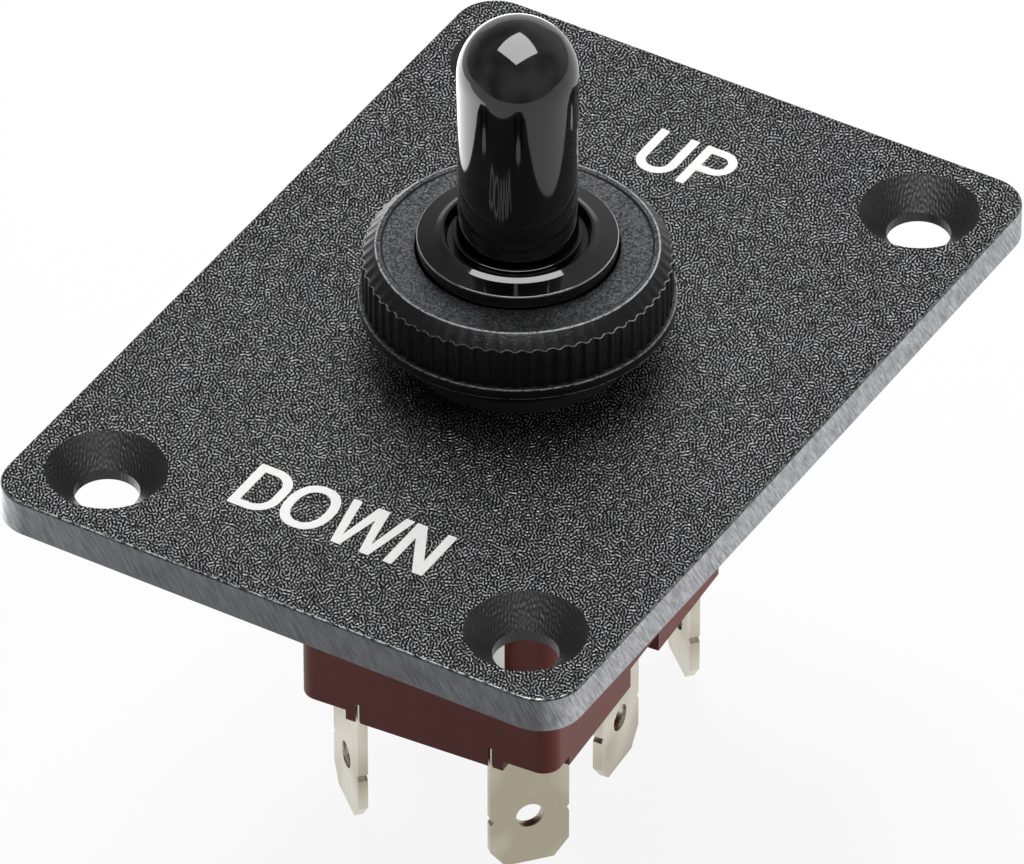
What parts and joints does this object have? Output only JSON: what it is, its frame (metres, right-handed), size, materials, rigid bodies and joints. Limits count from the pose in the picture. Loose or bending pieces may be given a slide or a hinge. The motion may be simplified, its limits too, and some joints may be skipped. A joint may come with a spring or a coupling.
{
  "type": "toggle switch",
  "caption": "Momentary toggle switch on a countersunk panel plate: booted bat lever in a knurled ring nut above, moulded base with blade terminals below.",
  "frame": {"origin": "centre of the screw pattern on the plate's underside", "axes": "+Z out of the panel along the lever at rest, +Y along the long side of the plate towards the up position, +X along its short side"},
  "size_m": [0.05, 0.072, 0.0685],
  "materials": {
    "powder_coated_aluminium": "black fine-texture powder coat, machined grey edges",
    "black_anodised_aluminium": "satin black",
    "moulded_rubber": "glossy black",
    "washer_rubber": "matte black",
    "black_steel": "black oxide",
    "nickel_plated_brass": "bright nickel plate",
    "zinc_plated_steel": "zinc plate",
    "hardened_steel": "ground",
    "nickel_plated_steel": "nickel plate",
    "fibre_card": "pressed fibre",
    "phenolic": "moulded, semi-matte red-brown",
    "silver_contact": "silver alloy",
    "chromed_brass": "chrome plate",
    "nylon": "moulded natural white",
    "tinned_brass": "dull tin plate",
    "plunger_brass": "turned",
    "spring_steel": "drawn wire",
    "rocker_copper": "rolled copper strip"
  },
  "bodies": {
    "housing": {"panel_plate": "powder_coated_aluminium", "knurled_ring_nut": "black_anodised_aluminium", "rubber_boot": "moulded_rubber", "upper_hex_nut": "black_steel", "seal_washer": "washer_rubber", "bushing": "nickel_plated_brass", "lock_washer": "zinc_plated_steel", "lower_hex_nut": "black_steel", "pivot_pin": "hardened_steel", "mounting_frame": "nickel_plated_steel", "insulating_card": "fibre_card", "base": "phenolic", "fixed_contacts": "silver_contact", "terminal_front_right": "tinned_brass", "terminal_front_left": "tinned_brass", "terminal_middle_right": "tinned_brass", "terminal_middle_left": "tinned_brass", "terminal_rear_right": "tinned_brass", "terminal_rear_left": "tinned_brass", "fulcrum_post_left": "tinned_brass", "fulcrum_post_right": "tinned_brass"},
    "lever": {"lever": "chromed_brass", "plunger_carrier": "nylon", "plunger_spring_left": "spring_steel", "plunger_spring_right": "spring_steel"},
    "plunger_left": {"plunger_left": "plunger_brass"},
    "plunger_right": {"plunger_right": "plunger_brass"},
    "rocker_left": {"rocker_left": "rocker_copper", "rocker_contacts_left": "silver_contact"},
    "rocker_right": {"rocker_right": "rocker_copper", "rocker_contacts_right": "silver_contact"}
  },
  "joints": [
    {"name": "lever_tilt", "type": "hinge", "parent": "housing", "child": "lever", "pos_m": [0, 0, 0.002], "axis": [0.9976, 0.0698, 0], "range_deg": [-12.5, 12.5], "stiffness_Nm_per_rad": 0.1, "deforming": ["rubber_boot"]},
    {"name": "plunger_slide_left", "type": "slide", "parent": "lever", "child": "plunger_left", "axis": [0, 0, 1], "range_m": [0, 0.0008], "stiffness_N_per_m": 60, "springref_m": -0.0015, "deforming": ["plunger_spring_left"]},
    {"name": "plunger_slide_right", "type": "slide", "parent": "lever", "child": "plunger_right", "axis": [0, 0, 1], "range_m": [0, 0.0008], "stiffness_N_per_m": 60, "springref_m": -0.0015, "deforming": ["plunger_spring_right"]},
    {"name": "rocker_tilt_left", "type": "hinge", "parent": "housing", "child": "rocker_left", "pos_m": [-0.00549, -0.00038, -0.01776], "axis": [0.9976, 0.0698, 0], "range_deg": [-6, 6]},
    {"name": "rocker_tilt_right", "type": "hinge", "parent": "housing", "child": "rocker_right", "pos_m": [0.00549, 0.00038, -0.01776], "axis": [0.9976, 0.0698, 0], "range_deg": [-6, 6]}
  ],
  "couplings": [
    {"joint": "rocker_tilt_left", "follows": "lever_tilt", "ratio": -0.48},
    {"joint": "rocker_tilt_right", "follows": "lever_tilt", "ratio": -0.48}
  ]
}
